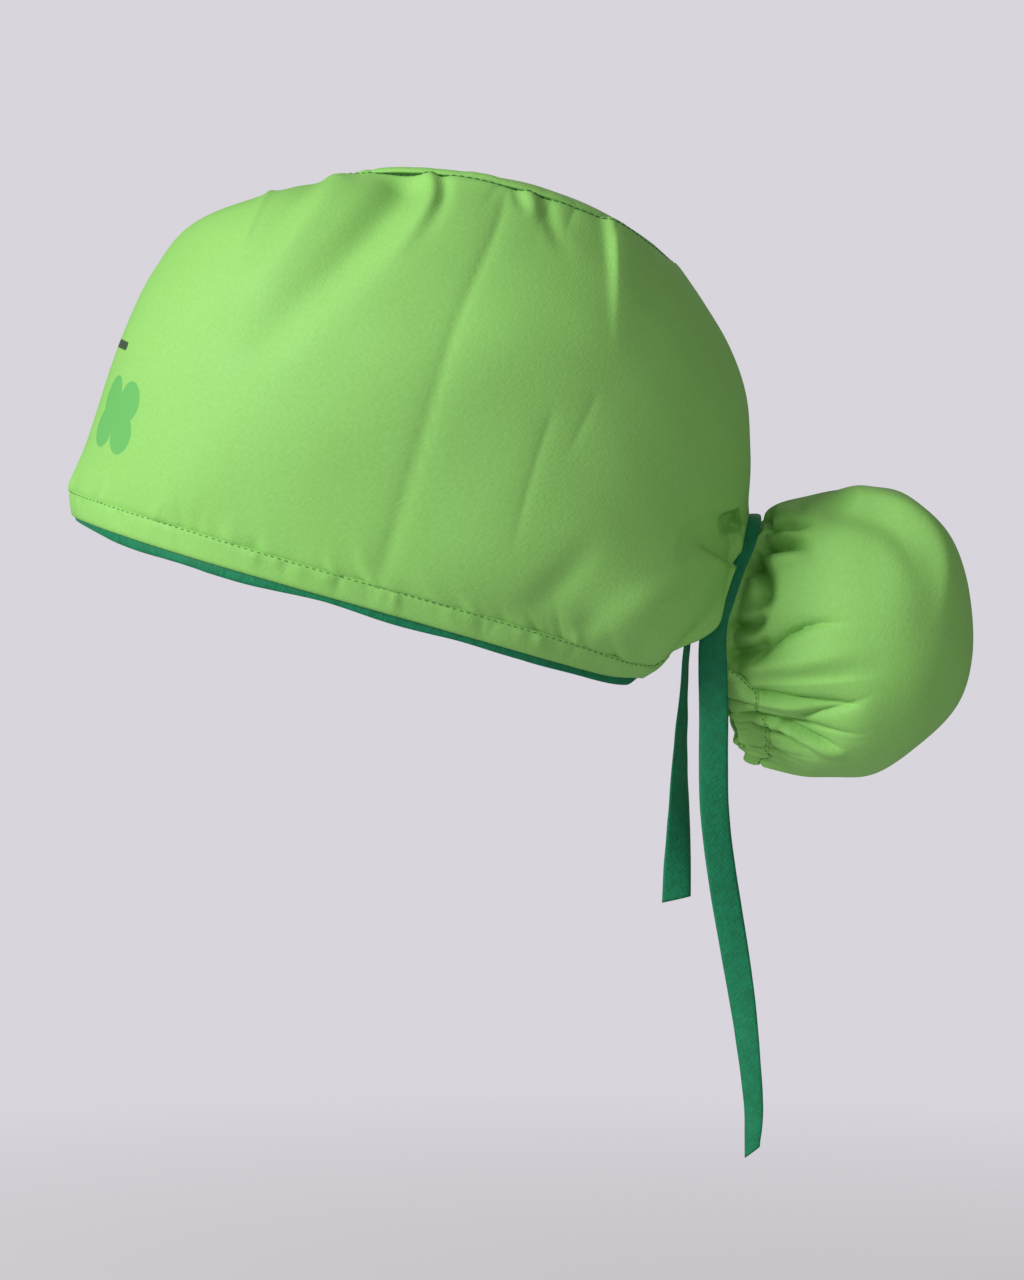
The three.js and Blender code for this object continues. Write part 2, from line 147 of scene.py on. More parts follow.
def fold_rows(rows):
    return [dict(zip(FOLD_COLUMNS, row)) for row in rows]


BAND_FOLDS = fold_rows([
    (LEFT, "soft", -5.6, 8.0, 0.15, 0.3,
     [(17, 148), (15, 137), (8, 126), (-5, 111), (-20, 96), (-34, 80), (-44, 62)]),
    (LEFT, "soft", 1.6, 6.0, 0.15, 0.5, [(-4, 146), (-12, 134), (-27, 113), (-41, 98)]),
    (LEFT, "soft", -1.9, 4.5, 0.15, 0.5, [(-11, 146), (-17, 135), (-27, 122), (-40, 110)]),
    (LEFT, "soft", 1.8, 2.8, 0.15, 0.3, [(23, 148), (25, 136), (22, 128), (15, 117), (6, 106)]),
    (LEFT, "soft", -1.5, 2.2, 0.15, 0.3, [(27, 148), (29, 136), (26.5, 127), (18, 114)]),
    (LEFT, "crease", -1.2, 7.0, 0.15, 0.85,
     [(50.5, 146), (48, 128), (33, 90), (22, 53), (10.3, 14.5), (8, 2)]),
    (LEFT, "crease", -0.6, 6.0, 0.15, 0.5, [(66, 66), (56, 35), (50.5, 12)]),
    (LEFT, "crease", -0.45, 4.0, 0.15, 0.5, [(80, 70), (74.5, 58), (69, 46)]),
    (LEFT, "soft", -1.3, 2.0, 0.15, 0.5, [(51, 146), (54, 135), (58, 128)]),
    (LEFT, "soft", 0.9, 3.0, 0.15, 0.5, [(56, 144), (59, 133), (61, 126)]),
    (LEFT, "soft", -1.5, 2.6, 0.15, 0.3, [(60, 142), (63, 131), (66.5, 121), (71, 112)]),
    (LEFT, "pleat", 2.8, 9.5, 0.15, 0.4, [(83, 134), (85, 124), (86, 106), (86, 78)]),
    (LEFT, "crease", 1.4, 3.0, 0.15, 0.5, [(-28, 142), (-34, 127), (-41, 111)]),
    (LEFT, "soft", -3.0, 5.0, 0.5, 0.5, [(82, -28), (92, -19), (101, -11), (110, -6), (119, -4)]),
    (LEFT, "soft", 1.4, 6.0, 0.5, 0.5, [(76, -18), (91, -3), (104, 3), (117, 5)]),
    (LEFT, "soft", -1.3, 5.0, 0.5, 0.5, [(48, -10), (60, 0), (72, 12), (82, 26)]),
    (LEFT, "soft", -1.0, 4.0, 0.5, 0.5, [(66, -18), (74, -10), (84, -3)]),
    (LEFT, "step", -7.0, 14.0, 0.6, 0.95,
     [(109, 6), (106.5, 14), (107.5, 22), (112, 27), (119, 29.5), (125, 30), (131, 29.5)]),
    (RIGHT, "soft", -3.2, 9.0, 0.15, 0.5, [(-8, 142), (-20, 118), (-38, 92), (-48, 66)]),
    (RIGHT, "soft", -2.0, 4.0, 0.15, 0.5, [(18, 147), (22, 128), (14, 104)]),
    (RIGHT, "soft", 1.6, 5.0, 0.15, 0.5, [(42, 144), (44, 124), (36, 100)]),
    (RIGHT, "soft", -2.0, 3.6, 0.15, 0.5, [(66, 138), (70, 118), (68, 92)]),
    (RIGHT, "crease", -1.4, 9.0, 0.15, 0.5, [(54, 144), (46, 110), (30, 60), (16, 4)]),
    (RIGHT, "pleat", 2.6, 12.0, 0.15, 0.5, [(90, 128), (93, 104), (96, 80)]),
    (RIGHT, "soft", -2.6, 4.5, 0.15, 0.5, [(86, -24), (96, -12), (108, -5), (118, 0)]),
    (RIGHT, "step", -3.0, 14.0, 0.6, 0.95, [(110, 4), (108, 16), (113, 26), (122, 30), (131, 30)]),
])
POCKET_DEPTH = 9.0  # of the hollow under the rear fold, pressed straight in from the side
POCKET = fold_rows([
    (LEFT, "hole", 1.0, 3.2, 0.05, 0.7, [(126.0, 29.6), (127.4, 26.4), (128.8, 21.5)]),
])
POUCH_FOLDS = fold_rows([
    (LEFT, "soft", 4.0, 3.8, 0.15, 0.5,
     [(163, 33), (174, 33.5), (184, 31), (192, 25.5), (198, 16), (199.5, 2), (197, -12)]),
    (LEFT, "soft", -2.4, 5.0, 0.15, 0.5, [(154, 31), (170, 29), (182, 23), (188.5, 13), (189, 0)]),
    (LEFT, "soft", -2.8, 1.5, 0.15, 0.5, [(138.5, 25), (141, 28), (143, 32)]),
    (LEFT, "soft", 2.2, 2.4, 0.15, 0.5, [(140, 26.5), (146, 29), (152, 30)]),
    (LEFT, "soft", -3.4, 1.6, 0.15, 0.5, [(138, 22.5), (144, 24.5), (151, 25.6), (157, 27)]),
    (LEFT, "soft", 2.0, 2.0, 0.15, 0.5, [(139, 20.5), (144, 22.5), (150, 23)]),
    (LEFT, "soft", -7.0, 2.4, 0.15, 0.5, [(136, 17.5), (142, 18.8), (148, 19.2), (156, 18)]),
    (LEFT, "soft", 2.0, 3.0, 0.15, 0.5, [(138, 12.5), (146, 14), (156, 14)]),
    (LEFT, "soft", -7.5, 2.8, 0.15, 0.7, [(130, 16), (135, 13), (137.5, 8), (137.5, 1), (135.5, -5)]),
    (LEFT, "soft", -3.0, 2.6, 0.3, 0.8,
     [(137.5, 19), (133.5, 13), (130.5, 7), (128.4, 0), (127, -7), (126.6, -15), (127, -23)]),
    (LEFT, "soft", 1.6, 2.4, 0.15, 0.5, [(133.5, 8), (134, 4), (133, -2)]),
    (LEFT, "soft", -5.5, 2.0, 0.15, 0.7, [(124, -8), (130, -9.5), (135, -8), (138, -3)]),
    (LEFT, "soft", 1.6, 2.4, 0.15, 0.5, [(127, -13), (132, -13), (136, -11)]),
    (LEFT, "soft", -5.5, 2.0, 0.15, 0.7, [(123, -20), (131, -18.6), (136, -16.6), (139, -12)]),
    (LEFT, "crease", -5.0, 3.2, 0.15, 0.5, [(133, -23), (140, -16), (148, -10.5), (156, -8), (168, -8)]),
    (LEFT, "soft", 2.2, 4.0, 0.15, 0.5, [(128, -24), (142, -23), (160, -20), (178, -18)]),
    (LEFT, "step", -3.4, 6.0, 0.5, 0.9, [(182, -25), (160, -27.6), (144, -28.6), (124, -28.6)]),
    (LEFT, "crease", -4.4, 2.8, 0.15, 0.5, [(130, -30.8), (147, -34), (162, -35.4), (172, -36)]),
    (LEFT, "soft", 1.6, 1.8, 0.15, 0.5, [(132, -35.4), (147, -37.6), (156, -38.4)]),
    (LEFT, "crease", -3.2, 3.4, 0.15, 0.5, [(147, -42.4), (155, -39.4), (163, -37), (176, -31)]),
    (LEFT, "crease", -5.2, 2.8, 0.15, 0.5,
     [(126, -41), (136, -41.4), (147, -43.6), (159, -45.2), (176, -46.4)]),
    (LEFT, "crease", -4.4, 2.4, 0.15, 0.5, [(142, -43.2), (149, -46.4), (159, -50), (166, -52)]),
    (LEFT, "crease", -4.8, 2.4, 0.15, 0.5,
     [(129, -42.4), (136, -47), (143, -48.6), (152, -52.8), (158, -56)]),
    (LEFT, "soft", 1.8, 2.0, 0.15, 0.5, [(142, -45.6), (152, -50), (162, -53.6), (168, -54)]),
    (LEFT, "crease", -2.6, 2.0, 0.15, 0.5, [(131, -46), (140, -52), (146, -56), (157, -60)]),
])


# ---------------------------------------------------------------- curves and grids

def centripetal(control, steps):
    """A smooth curve through control[k, column], as points[k * steps, column] along each column."""
    first = 2 * control[0] - control[1]
    last = 2 * control[-1] - control[-2]
    knots = np.concatenate([first[None], control, last[None]])
    gaps = np.sqrt(np.maximum(np.linalg.norm(np.diff(knots, axis=0), axis=-1), 1e-6))[..., None]
    spans = []
    for k in range(len(control) - 1):
        a, b, c, d = knots[k:k + 4]
        before, here, after = gaps[k:k + 3]
        leave = ((b - a) / before - (c - a) / (before + here) + (c - b) / here) * here
        arrive = ((c - b) / here - (d - b) / (here + after) + (d - c) / after) * here
        t = np.linspace(0, 1, steps, endpoint=False).reshape((-1,) + (1,) * (control.ndim - 1))
        square, cube = t * t, t * t * t
        spans.append((2 * cube - 3 * square + 1) * b + (cube - 2 * square + t) * leave
                     + (3 * square - 2 * cube) * c + (cube - square) * arrive)
    spans.append(control[-1][None])
    return np.concatenate(spans)


def lengths(curve):
    """The length along each column of curve[k, column]."""
    step = np.linalg.norm(np.diff(curve, axis=0), axis=-1)
    return np.concatenate([np.zeros((1,) + step.shape[1:]), np.cumsum(step, axis=0)])


def run_along(points):
    """The length along one line of points."""
    return lengths(points[:, None])[:, 0]


def at_length(curve, run):
    """Points of curve[k, column] at run[row, column] millimetres; before the start it goes straight on."""
    along = lengths(curve)
    out = np.empty(run.shape + (3,))
    for column in range(curve.shape[1]):
        for axis in range(3):
            out[:, column, axis] = np.interp(run[:, column], along[:, column], curve[:, column, axis])
    start = curve[1] - curve[0]
    start /= np.linalg.norm(start, axis=-1, keepdims=True)
    return out + np.minimum(run, 0)[..., None] * start[None]


def smooth(value, low, high):
    t = np.clip((value - low) / (high - low), 0, 1)
    return t * t * (3 - 2 * t)


def oval(degrees, square):
    """Sine and cosine of a rounded oval: 2 is an ellipse, and more is squarer."""
    angle = np.radians(degrees)
    across, along = np.sin(angle), np.cos(angle)
    return (np.sign(across) * np.abs(across) ** (2 / square),
            np.sign(along) * np.abs(along) ** (2 / square))


def opening_edge(degrees):
    across, along = oval(degrees, OPENING["square"])
    y = -OPENING["length"] / 2 * along
    z = -OPENING["rise"] * y - OPENING["side_sag"] * np.sin(np.radians(degrees)) ** 2
    z = z - OPENING["nape_drop"] * np.maximum(0, -along) ** 2
    return np.stack([OPENING["width"] / 2 * across, y, z], -1)


def band_ring(ring, degrees):
    across, along = oval(degrees, OPENING["square"])
    share = (1 - along) / 2
    y = ring["front"][0] + (ring["back"][0] - ring["front"][0]) * share
    z = ring["front"][1] + (ring["back"][1] - ring["front"][1]) * share
    z = z - ring["drop"] * np.sin(np.radians(degrees)) ** 2
    z = z - ring["corner"] * np.exp(-(((np.abs(degrees) - CORNER) / 22) ** 2))
    return np.stack([ring["half"] * across, y, z], -1)


def pouch_ring(ring, degrees):
    across, along = oval(degrees, POUCH_SQUARE)
    share = (1 + along) / 2
    y = ring["low"][0] + (ring["top"][0] - ring["low"][0]) * share
    z = ring["low"][1] + (ring["top"][1] - ring["low"][1]) * share
    y = y - ring["forward"] * np.sin(np.radians(degrees)) ** 2
    return np.stack([ring["half"] * across, y, z], -1)


def lower_edge(degrees):
    """The side band's lower edge: the hem line, and past each rear corner the arch over the pouch."""
    away = np.abs(degrees)
    hem = opening_edge(np.minimum(away, CORNER) * HEM_END / CORNER)
    stops = pouch_ring(POUCH_RINGS[0], np.array(ARCH_STOPS, float)) - [0, ARCH_GAP, 0]
    arch = centripetal(np.concatenate([np.array(NAPE_EDGE), stops])[:, None], 24)
    run = np.clip((away - CORNER) / (180 - CORNER), 0, 1)[None].T
    arch_points = at_length(arch, run * lengths(arch)[-1, 0])[:, 0]
    points = np.where((away <= CORNER)[:, None], hem, arch_points)
    points[:, 0] *= np.where(degrees < 0, -1, 1)
    points[:, 2] += CORNER_LIFT * np.exp(-(((away - CORNER) / 9) ** 2))
    return points


def band_columns(degrees):
    control = [lower_edge(degrees)] + [band_ring(ring, degrees) for ring in BAND_RINGS]
    return centripetal(np.array(control), 20)


def pouch_columns(degrees):
    control = [pouch_ring(ring, degrees) for ring in POUCH_RINGS]
    end = np.zeros((len(degrees), 3))
    end[:, 1:] = POUCH_END
    return centripetal(np.array(control + [end]), 20)


def grid_normals(grid, closed):
    """Outward normals of grid[row, column]: rows go up and columns go round."""
    if closed:
        round_ = np.roll(grid, -1, 1) - np.roll(grid, 1, 1)
    else:
        round_ = np.gradient(grid, axis=1)
    normals = np.cross(round_, np.gradient(grid, axis=0))
    return normals / np.maximum(np.linalg.norm(normals, axis=-1, keepdims=True), 1e-9)


# ---------------------------------------------------------------- folds

def nearest(y, z, line):
    """Signed distance to a line in the side view, + on its right, and the share of the line passed."""
    path = centripetal(np.array(line, float)[:, None], 8)[:, 0]
    best = np.full(y.shape, 1e9)
    signed = np.zeros(y.shape)
    share = np.zeros(y.shape)
    total = len(path) - 1
    for i in range(total):
        (ay, az), (by, bz) = path[i], path[i + 1]
        dy, dz = by - ay, bz - az
        size = math.hypot(dy, dz)
        t = np.clip(((y - ay) * dy + (z - az) * dz) / size ** 2, 0, 1)
        ey, ez = y - ay - t * dy, z - az - t * dz
        away = np.hypot(ey, ez)
        near = away < best
        best = np.where(near, away, best)
        signed = np.where(near, np.where(ey * dz - ez * dy > 0, away, -away), signed)
        share = np.where(near, (i + t) / total, share)
    return signed, share


def fold_field(grid, folds):
    """Height of all the folds at each point of a grid."""
    field = np.zeros(grid.shape[:-1])
    for fold in folds:
        line = np.array(fold["line"], float)
        margin = 3.2 * fold["reach"]
        low, high = line.min(0) - margin, line.max(0) + margin
        inside = ((np.sign(grid[..., 0]) == fold["side"])
                  & (grid[..., 1] > low[0]) & (grid[..., 1] < high[0])
                  & (grid[..., 2] > low[1]) & (grid[..., 2] < high[1]))
        if not inside.any():
            continue
        signed, share = nearest(grid[inside][:, 1], grid[inside][:, 2], fold["line"])
        ends = smooth(share, -0.01, fold["starts"]) * (1 - smooth(share, fold["fades"], 1.01))
        if fold["kind"] == "soft":
            shape = np.exp(-((signed / fold["reach"]) ** 2))
        elif fold["kind"] == "crease":
            far = np.abs(signed) / fold["reach"]
            shape = 0.5 * np.exp(-far) + 0.5 * np.exp(-3.5 * far)
        elif fold["kind"] == "pleat":
            easy = np.exp(-((signed / fold["reach"]) ** 2))
            steep = np.exp(-((signed / (0.22 * fold["reach"])) ** 2))
            shape = np.where(signed < 0, easy, steep)
        elif fold["kind"] == "hole":
            shape = 1 - smooth(np.abs(signed), 0.5 * fold["reach"], 1.3 * fold["reach"])
        else:
            past = np.maximum(signed + 0.6, 0) / fold["reach"]
            shape = (1 - np.exp(-2.6 * past)) * np.exp(-0.8 * past)
        field[inside] += fold["depth"] * ends * shape
    return field


def wobble(grid, size, seed, count=9):
    """Soft random unevenness of about 1 each way, with waves of about that size in millimetres."""
    draw = np.random.default_rng(seed)
    total = np.zeros(grid.shape[:-1])
    for _ in range(count):
        way = draw.normal(size=3)
        way /= np.linalg.norm(way)
        wave = 2 * math.pi / (size * draw.uniform(0.7, 1.5))
        total += np.sin(grid @ way * wave + draw.uniform(0, 2 * math.pi))
    return total / math.sqrt(count)


def pleats(place, run, seed, span, spacing, depth, rise, fade, lean=0.0, broad=1.0):
    """Gathers at irregular places along a seam, each with its own width, depth and length."""
    draw = np.random.default_rng(seed)
    total = np.zeros(np.broadcast(place, run).shape)
    at = span[0]
    while at < span[1]:
        at += spacing * draw.uniform(0.5, 1.5)
        width = broad * spacing * draw.uniform(0.16, 0.34)
        tall = depth * draw.uniform(-1, 1)
        reach = fade * draw.uniform(0.5, 1.3)
        shift = lean * draw.uniform(-1, 1)
        aside = (place - at - shift * run) / (width * (1 + run / (1.5 * fade)))
        shape = np.exp(-aside ** 2) if tall > 0 else np.exp(-1.3 * np.abs(aside))
        total += tall * shape * np.exp(-((run / reach) ** 2)) * smooth(run, 0, rise)
    return total


def raised(grid, height, side_pull):
    """A closed grid moved by height along its normals, leaning towards the side that it faces."""
    way = grid_normals(grid, True)
    way[..., 0] += side_pull * np.sign(grid[..., 0])
    way /= np.linalg.norm(way, axis=-1, keepdims=True)
    return grid + way * height[..., None]


# ---------------------------------------------------------------- meshes

def new_mesh(name, vertices, faces, uvs=None):
    """A mesh object from millimetres. uvs are per corner, in metres."""
    mesh = bpy.data.meshes.new(name)
    mesh.from_pydata((np.asarray(vertices, float) * MM).tolist(), [], faces)
    if uvs is not None:
        layer = mesh.uv_layers.new(name="cloth")
        layer.data.foreach_set("uv", np.asarray(uvs, float).ravel())
    mesh.validate()
    mesh.polygons.foreach_set("use_smooth", [True] * len(mesh.polygons))
    mesh.update()
    piece = bpy.data.objects.new(name, mesh)
    bpy.context.scene.collection.objects.link(piece)
    return piece


def panel(name, outer, thickness, along, up, pole=None):
    """A closed cloth panel from grid[row, column]: a fine outer face, an inner face with half the rows and
    columns, and rims that join them. along and up are the cloth's own coordinates in millimetres."""
    rows, columns = outer.shape[:2]
    normals = grid_normals(outer, True)
    inner = (outer - normals * thickness)[::2, ::2]
    in_rows, in_columns = inner.shape[:2]
    vertices = [outer.reshape(-1, 3), inner.reshape(-1, 3)]
    base = rows * columns
    faces, corners = [], []

    def out(r, c):
        return r * columns + c % columns

    def back(r, c):
        return base + r * in_columns + c % in_columns

    def put(points):
        faces.append([index for index, _, _ in points])
        corners.extend((place, height) for _, place, height in points)

    def o(r, c):
        return out(r, c), along[c], up[r, c % columns]

    def i(r, c):
        return back(r, c), along[2 * c], up[2 * r, (2 * c) % columns]

    in_spans = columns // 2
    top, in_top = rows - 1, in_rows - 1
    for r in range(rows - 1):
        for c in range(columns):
            put((o(r, c), o(r, c + 1), o(r + 1, c + 1), o(r + 1, c)))
    for r in range(in_rows - 1):
        for c in range(in_spans):
            put((i(r, c), i(r + 1, c), i(r + 1, c + 1), i(r, c + 1)))
    for c in range(in_spans):
        a, b, d = o(0, 2 * c), o(0, 2 * c + 1), o(0, 2 * c + 2)
        put((i(0, c), b, a))
        put((i(0, c), i(0, c + 1), b))
        put((i(0, c + 1), d, b))
        if pole is None:
            a, b, d = o(top, 2 * c), o(top, 2 * c + 1), o(top, 2 * c + 2)
            put((a, b, i(in_top, c)))
            put((b, i(in_top, c + 1), i(in_top, c)))
            put((b, d, i(in_top, c + 1)))
    if pole is not None:
        vertices.append(np.array(pole, float))
        tip = base + in_rows * in_columns
        peak = up.max() + 2
        for c in range(columns):
            put((o(top, c), o(top, c + 1), (tip, along[c], peak)))
        for c in range(in_spans):
            put((i(in_top, c + 1), i(in_top, c), (tip + 1, along[2 * c], peak)))
    return new_mesh(name, np.concatenate(vertices), faces, np.array(corners) * MM)


def sweep(name, rings, place, height):
    """A closed strip: rings[column, point] is its section at each column, capped at both ends."""
    columns, points = rings.shape[:2]
    faces, corners = [], []
    for c in range(columns - 1):
        for p in range(points):
            q = (p + 1) % points
            faces.append([c * points + p, c * points + q, (c + 1) * points + q, (c + 1) * points + p])
            wrap = height[-1] + 1 if q == 0 else height[q]
            corners += [(place[c], height[p]), (place[c], wrap)]
            corners += [(place[c + 1], wrap), (place[c + 1], height[p])]
    for c, order in ((0, range(points - 1, -1, -1)), (columns - 1, range(points))):
        faces.append([c * points + p for p in order])
        corners += [(place[c], height[p]) for p in order]
    return new_mesh(name, rings.reshape(-1, 3), faces, np.array(corners) * MM)


def threads(name, starts, ends, normals, radius):
    """Stitches as one mesh: a short rounded thread from each start to each end, bowed off the cloth."""
    sides, stations = 6, (0.0, 0.12, 0.5, 0.88, 1.0)
    vertices, faces = [], []
    for start, end, up in zip(starts, ends, normals):
        way = (end - start) / np.linalg.norm(end - start)
        aside = np.cross(way, up)
        aside /= np.linalg.norm(aside)
        first = len(vertices)
        for t in stations:
            thick = radius * (0.35 if t in (0.0, 1.0) else 1.0)
            middle = start + (end - start) * t + up * radius * (1.4 * math.sin(math.pi * t) - 0.5)
            for s in range(sides):
                turn = 2 * math.pi * s / sides
                vertices.append(middle + (aside * math.cos(turn) + up * math.sin(turn)) * thick)
        for k in range(len(stations) - 1):
            for s in range(sides):
                t = (s + 1) % sides
                low, high = first + k * sides, first + (k + 1) * sides
                faces.append([low + s, low + t, high + t, high + s])
        faces.append([first + s for s in range(sides - 1, -1, -1)])
        last = first + (len(stations) - 1) * sides
        faces.append([last + s for s in range(sides)])
    return new_mesh(name, np.array(vertices), faces)


# ---------------------------------------------------------------- camera

EYE = Vector((1.2, 0.0515, 0.042))
AIM = Vector((0.0, 0.0515, -0.0154))
LENS = 96.5
camera = bpy.data.objects.new("camera", bpy.data.cameras.new("camera"))
camera.location = EYE
camera.rotation_euler = (AIM - EYE).to_track_quat("-Z", "Y").to_euler()
camera.data.lens = LENS
camera.data.clip_end = 20
bpy.context.scene.collection.objects.link(camera)
bpy.context.scene.camera = camera


# ---------------------------------------------------------------- materials

def linear(red, green, blue):
    """A colour from 0 to 255 values, as shader colour."""
    def one(value):
        value /= 255
        return value / 12.92 if value <= 0.04045 else ((value + 0.055) / 1.055) ** 2.4
    return one(red), one(green), one(blue), 1.0


class Nodes:
    """A short way to add and join shader nodes."""

    def __init__(self, name):
        self.material = bpy.data.materials.new(name)
        self.material.use_nodes = True
        self.tree = self.material.node_tree
        self.shader = self.tree.nodes["Principled BSDF"]

    def add(self, kind, inputs=None, **settings):
        node = self.tree.nodes.new(kind)
        for key, value in settings.items():
            setattr(node, key, value)
        for key, value in (inputs or {}).items():
            socket = node.inputs[key]
            if isinstance(value, bpy.types.NodeSocket):
                self.tree.links.new(value, socket)
            else:
                socket.default_value = value
        return node

    def math(self, operation, a, b=0.0):
        return self.add("ShaderNodeMath", {0: a, 1: b}, operation=operation).outputs[0]

    def reach(self, x, y):
        squares = self.math("ADD", self.math("MULTIPLY", x, x), self.math("MULTIPLY", y, y))
        return self.math("SQRT", squares)

    def mix(self, share, a, b):
        node = self.add("ShaderNodeMix", {0: share, 6: a, 7: b}, data_type="RGBA")
        return node.outputs[2]

    def noise(self, where, scale, detail=2.0, stretch=None):
        if stretch:
            where = self.add("ShaderNodeMapping", {"Vector": where, "Scale": stretch}).outputs[0]
        node = self.add("ShaderNodeTexNoise", {"Vector": where, "Scale": scale, "Detail": detail})
        return node.outputs["Fac"]

    def ramp(self, value, low, high, out_low=0.0, out_high=1.0):
        inputs = {"Value": value, "From Min": low, "From Max": high, "To Min": out_low, "To Max": out_high}
        return self.add("ShaderNodeMapRange", inputs).outputs[0]


def weave(nodes, size, strength):
    """Bump of slightly uneven yarns both ways, about that size in metres, and its height."""
    uv = nodes.add("ShaderNodeUVMap", uv_map="cloth").outputs[0]
    turned = nodes.add("ShaderNodeMapping", {"Vector": uv, "Rotation": (0, 0, 0.6)}).outputs[0]
    warp = nodes.noise(turned, 1 / size, 2.0, (1.0, 0.35, 1))
    weft = nodes.noise(turned, 1 / size, 2.0, (0.35, 1.0, 1))
    height = nodes.math("ADD", warp, weft)
    bump = nodes.add("ShaderNodeBump", {"Height": height, "Strength": strength, "Distance": 0.0003})
    nodes.tree.links.new(bump.outputs[0], nodes.shader.inputs["Normal"])
    return height, uv


def finish_shader(nodes, base, **values):
    nodes.tree.links.new(base, nodes.shader.inputs["Base Color"])
    for socket, value in values.items():
        nodes.shader.inputs[socket.replace("_", " ")].default_value = value
    return nodes.material


def cloth_material(name, colour, dark, print_on=None):
    nodes = Nodes(name)
    height, uv = weave(nodes, 0.0008, 0.3)
    place = nodes.add("ShaderNodeTexCoord").outputs["Object"]
    broad = nodes.noise(place, 18, 3.0)
    fine = nodes.noise(uv, 700, 2.0)
    base = nodes.mix(nodes.ramp(broad, 0.3, 0.7, 0.0, 0.22), colour, dark)
    base = nodes.mix(nodes.ramp(fine, 0.3, 0.75, 0.0, 0.20), base, dark)
    # Painted shade: the low places of the weave are darkened towards the dark colour, as shade between the
    # yarns.
    base = nodes.mix(nodes.ramp(height, 0.7, 1.3, 0.30, 0.0), base, dark)
    if print_on:
        base = print_on(nodes, uv, base)
    rough = nodes.ramp(nodes.noise(place, 60, 2.0), 0.3, 0.7, 0.6, 0.68)
    nodes.tree.links.new(rough, nodes.shader.inputs["Roughness"])
    return finish_shader(nodes, base, Specular_IOR_Level=0.26, Sheen_Weight=0.02, Sheen_Roughness=0.4,
                         Sheen_Tint=(0.75, 1.0, 0.6, 1.0))


def ribbon_material(name, colour, dark):
    nodes = Nodes(name)
    height, uv = weave(nodes, 0.0009, 0.8)
    place = nodes.add("ShaderNodeTexCoord").outputs["Object"]
    mottle = nodes.noise(place, 260, 4.0)
    base = nodes.mix(nodes.ramp(mottle, 0.35, 0.7, 0.0, 0.45), colour, dark)
    # Painted shade: the low places of the ribbon's weave are darkened towards the dark colour, as shade
    # between the yarns.
    base = nodes.mix(nodes.ramp(height, 0.7, 1.3, 0.5, 0.0), base, dark)
    return finish_shader(nodes, base, Roughness=0.62, Specular_IOR_Level=0.3, Sheen_Weight=0.2,
                         Sheen_Roughness=0.4, Sheen_Tint=(0.5, 1.0, 0.8, 1.0))


def thread_material(name, colour, dark):
    nodes = Nodes(name)
    place = nodes.add("ShaderNodeTexCoord").outputs["Object"]
    twist = nodes.noise(place, 1800, 2.0)
    base = nodes.mix(nodes.ramp(twist, 0.35, 0.65), colour, dark)
    return finish_shader(nodes, base, Roughness=0.6)


LEAF_PLACE = (0.0452, 0.0404)  # cloth coordinates, metres
LEAF_REACH = 0.0061
LEAF_ROUND = 0.0071
DASH_PLACE = (0.0225, 0.0630)
DASH_HALF = (0.0112, 0.0015)
INK_EDGE = 0.0002  # half the soft edge of the print


def front_print(nodes, uv, base):
    """A plain four-lobed leaf and a short dark dash, printed on the front of the band."""
    parts = nodes.add("ShaderNodeSeparateXYZ", {0: uv}).outputs
    x = nodes.math("SUBTRACT", parts[0], LEAF_PLACE[0])
    y = nodes.math("SUBTRACT", parts[1], LEAF_PLACE[1])

    def lobe(at_x, at_y, radius):
        dx = nodes.math("SUBTRACT", x, at_x)
        dy = nodes.math("SUBTRACT", y, at_y)
        return nodes.ramp(nodes.reach(dx, dy), radius + INK_EDGE, radius - INK_EDGE)

    leaf = lobe(0.0, 0.0, LEAF_ROUND * 0.8)
    for side_x in (-1, 1):
        for side_y in (-1, 1):
            petal = lobe(side_x * LEAF_REACH * 1.15, side_y * LEAF_REACH * 0.92, LEAF_ROUND)
            leaf = nodes.math("MAXIMUM", leaf, petal)
    ink = nodes.add("ShaderNodeRGB").outputs[0]
    ink.default_value = LEAF_INK
    base = nodes.mix(nodes.math("MULTIPLY", leaf, 0.85), base, ink)
    across = nodes.math("ABSOLUTE", nodes.math("SUBTRACT", parts[0], DASH_PLACE[0]))
    up = nodes.math("SUBTRACT", parts[1], DASH_PLACE[1])
    past = nodes.math("MAXIMUM", nodes.math("SUBTRACT", across, DASH_HALF[0]), 0.0)
    dash = nodes.ramp(nodes.reach(past, up), DASH_HALF[1] + INK_EDGE, DASH_HALF[1] - INK_EDGE)
    return nodes.mix(nodes.math("MULTIPLY", dash, 0.95), base, DASH_INK)


CLOTH_GREEN = linear(146, 204, 113)
# A darker green for the cloth's random mottle, and also for the painted shade in the weave's low places.
CLOTH_MOTTLE_AND_SHADE = linear(120, 184, 76)
RIBBON_GREEN = linear(7, 130, 90)
# A darker ribbon green for its random mottle, and also for the painted shade in the weave's low places.
RIBBON_MOTTLE_AND_SHADE = linear(4, 92, 56)
LEAF_INK = linear(90, 172, 92)
DASH_INK = linear(48, 62, 50)
band_cloth = cloth_material("band_cloth", CLOTH_GREEN, CLOTH_MOTTLE_AND_SHADE, front_print)
plain_cloth = cloth_material("plain_cloth", CLOTH_GREEN, CLOTH_MOTTLE_AND_SHADE)
ribbon_cloth = ribbon_material("ribbon_cloth", RIBBON_GREEN, RIBBON_MOTTLE_AND_SHADE)
stitch_thread = thread_material("stitch_thread", linear(34, 112, 58), linear(22, 84, 42))


# ---------------------------------------------------------------- ties

